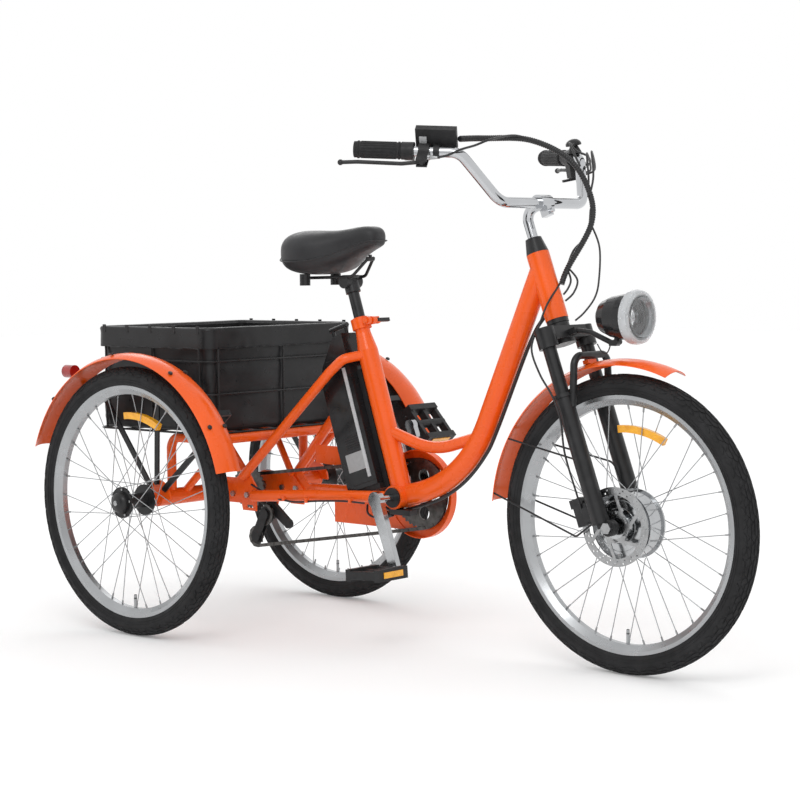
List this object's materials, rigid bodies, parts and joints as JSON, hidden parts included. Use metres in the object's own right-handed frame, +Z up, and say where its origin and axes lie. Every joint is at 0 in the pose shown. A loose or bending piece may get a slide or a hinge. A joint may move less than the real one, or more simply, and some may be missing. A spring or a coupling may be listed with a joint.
{
  "type": "adult electric tricycle",
  "caption": "Adult electric tricycle with a step-through frame, front hub motor, suspension fork, battery behind the seat tube, chain drive and a rear wire basket with a soft liner.",
  "frame": {"origin": "on the ground, in the middle of the overall length and on the middle plane between the rear wheels", "axes": "+X forward, +Y to the rider's left, +Z up"},
  "size_m": [1.7402, 0.746, 1.1091],
  "materials": {
    "orange_paint": "gloss",
    "black_paint": "gloss",
    "tyre_rubber": "matt",
    "rim_metal": "satin",
    "polished_metal": "polished",
    "steel": "brushed",
    "chrome": "polished",
    "black_metal": "satin",
    "dark_steel": "oiled",
    "black_plastic": "matt",
    "gloss_black_plastic": "gloss",
    "grip_rubber": "matt",
    "saddle_cover": "satin grain",
    "liner_vinyl": "satin, wrinkled",
    "amber_plastic": "gloss",
    "red_plastic": "gloss",
    "lamp_glass": "clear",
    "grey_strip": "satin",
    "cable_black": "satin"
  },
  "bodies": {
    "frame": {"main_frame": "orange_paint", "rear_frame": "orange_paint", "frame_bolts": "steel", "bearing_cups": "black_metal", "seat_clamp": "orange_paint", "rear_mudguards": "orange_paint", "mudguard_struts": "black_paint", "basket_frame": "black_paint", "basket_liner": "liner_vinyl", "battery_dock": "black_plastic", "chain_guard": "orange_paint", "chain": "dark_steel", "derailleur": "black_plastic", "tail_lamps": "red_plastic", "wiring_loom": "cable_black"},
    "battery": {"battery_case": "gloss_black_plastic", "battery_trim": "grey_strip"},
    "fork": {"fork_crown": "black_metal", "stem": "chrome", "handlebar": "chrome", "grips": "grip_rubber", "display": "black_plastic", "bar_controls": "black_plastic", "bar_loom": "cable_black"},
    "lowers": {"fork_lowers": "black_metal", "front_mudguard": "orange_paint", "front_guard_stays": "black_paint", "brake_caliper": "black_metal", "front_axle": "steel"},
    "front_wheel": {"front_tyre": "tyre_rubber", "front_wheel_metal": "rim_metal", "front_hub_motor": "polished_metal", "brake_disc": "steel", "front_reflector": "amber_plastic"},
    "right_wheel": {"right_tyre": "tyre_rubber", "right_wheel_metal": "rim_metal", "right_hub": "black_metal", "right_reflector": "amber_plastic"},
    "left_wheel": {"left_tyre": "tyre_rubber", "left_wheel_metal": "rim_metal", "left_hub": "black_metal", "left_reflector": "amber_plastic", "drive_shaft": "steel"},
    "cassette_set": {"cassette": "dark_steel"},
    "crank": {"crank_arms": "polished_metal", "chainring": "dark_steel"},
    "right_pedal_set": {"right_pedal": "black_plastic"},
    "left_pedal_set": {"left_pedal": "black_plastic"},
    "seat": {"seatpost": "black_metal", "saddle": "saddle_cover", "saddle_clamp": "black_metal"},
    "clamp_lever": {"seat_lever": "black_metal"},
    "right_lever": {"right_brake_lever": "black_metal"},
    "left_lever": {"left_brake_lever": "black_metal"},
    "thumb_throttle": {"throttle": "black_plastic"},
    "shifter_lever": {"shift_lever": "black_plastic"},
    "headlamp": {"headlamp_shell": "gloss_black_plastic", "headlamp_glass": "lamp_glass"},
    "upper_jockey": {"jockey_upper": "black_plastic"},
    "lower_jockey": {"jockey_lower": "black_plastic"}
  },
  "joints": [
    {"name": "steering", "type": "hinge", "parent": "frame", "child": "fork", "pos_m": [0.54067, 0, 0.304], "axis": [-0.342, 0, 0.9397], "range_deg": [-45, 45]},
    {"name": "front_suspension", "type": "slide", "parent": "fork", "child": "lowers", "axis": [-0.342, 0, 0.9397], "range_m": [0, 0.024], "stiffness_N_per_m": 12000, "springref_m": -0.02},
    {"name": "front_wheel_spin", "type": "hinge", "parent": "lowers", "child": "front_wheel", "pos_m": [0.56621, 0, 0.304], "axis": [0, 1, 0], "continuous": true},
    {"name": "right_wheel_spin", "type": "hinge", "parent": "frame", "child": "right_wheel", "pos_m": [-0.55579, -0.332, 0.304], "axis": [0, 1, 0], "continuous": true},
    {"name": "left_wheel_spin", "type": "hinge", "parent": "frame", "child": "left_wheel", "pos_m": [-0.55579, 0.332, 0.304], "axis": [0, 1, 0], "continuous": true},
    {"name": "crank_spin", "type": "hinge", "parent": "frame", "child": "crank", "pos_m": [-0.03579, 0, 0.32], "axis": [0, 1, 0], "continuous": true},
    {"name": "cassette_spin", "type": "hinge", "parent": "frame", "child": "cassette_set", "pos_m": [-0.55579, 0.054, 0.304], "axis": [0, 1, 0], "continuous": true},
    {"name": "right_pedal_spin", "type": "hinge", "parent": "crank", "child": "right_pedal_set", "pos_m": [0.01825, -0.15, 0.17153], "axis": [0, 1, 0], "continuous": true},
    {"name": "left_pedal_spin", "type": "hinge", "parent": "crank", "child": "left_pedal_set", "pos_m": [-0.08983, 0.15, 0.46847], "axis": [0, 1, 0], "continuous": true},
    {"name": "seat_height", "type": "slide", "parent": "frame", "child": "seat", "axis": [-0.3057, 0, 0.9521], "range_m": [-0.03, 0.07]},
    {"name": "seat_clamp_lever", "type": "hinge", "parent": "frame", "child": "clamp_lever", "pos_m": [-0.13049, 0.024, 0.70655], "axis": [-0.3057, 0, 0.9521], "range_deg": [0, 80]},
    {"name": "battery_slide", "type": "slide", "parent": "frame", "child": "battery", "axis": [-0.3057, 0, 0.9521], "range_m": [0, 0.07]},
    {"name": "right_brake", "type": "hinge", "parent": "fork", "child": "right_lever", "pos_m": [0.25616, -0.26217, 1.03443], "axis": [-0.3292, 0.454, -0.8279], "range_deg": [0, 9], "stiffness_Nm_per_rad": 4},
    {"name": "left_brake", "type": "hinge", "parent": "fork", "child": "left_lever", "pos_m": [0.25616, 0.26217, 1.03443], "axis": [-0.3292, -0.454, -0.8279], "range_deg": [-9, 0], "stiffness_Nm_per_rad": 4},
    {"name": "throttle_turn", "type": "hinge", "parent": "fork", "child": "thumb_throttle", "pos_m": [0.21312, -0.25496, 1.05791], "axis": [0.8501, 0.5242, -0.0506], "range_deg": [-40, 0], "stiffness_Nm_per_rad": 0.6},
    {"name": "gear_lever", "type": "hinge", "parent": "fork", "child": "shifter_lever", "pos_m": [0.26882, 0.23531, 1.01152], "axis": [0.0578, 0.1885, -0.9804], "range_deg": [-20, 20]},
    {"name": "headlamp_tilt", "type": "hinge", "parent": "fork", "child": "headlamp", "pos_m": [0.5433, 0, 0.67103], "axis": [0, 1, 0], "range_deg": [-3, 10]},
    {"name": "upper_jockey_spin", "type": "hinge", "parent": "frame", "child": "upper_jockey", "pos_m": [-0.52579, 0.054, 0.238], "axis": [0, 1, 0], "continuous": true},
    {"name": "lower_jockey_spin", "type": "hinge", "parent": "frame", "child": "lower_jockey", "pos_m": [-0.55579, 0.054, 0.182], "axis": [0, 1, 0], "continuous": true}
  ],
  "couplings": [
    {"joint": "cassette_spin", "follows": "crank_spin", "ratio": 2.7143},
    {"joint": "upper_jockey_spin", "follows": "crank_spin", "ratio": -3.4545},
    {"joint": "lower_jockey_spin", "follows": "crank_spin", "ratio": 3.4545}
  ]
}
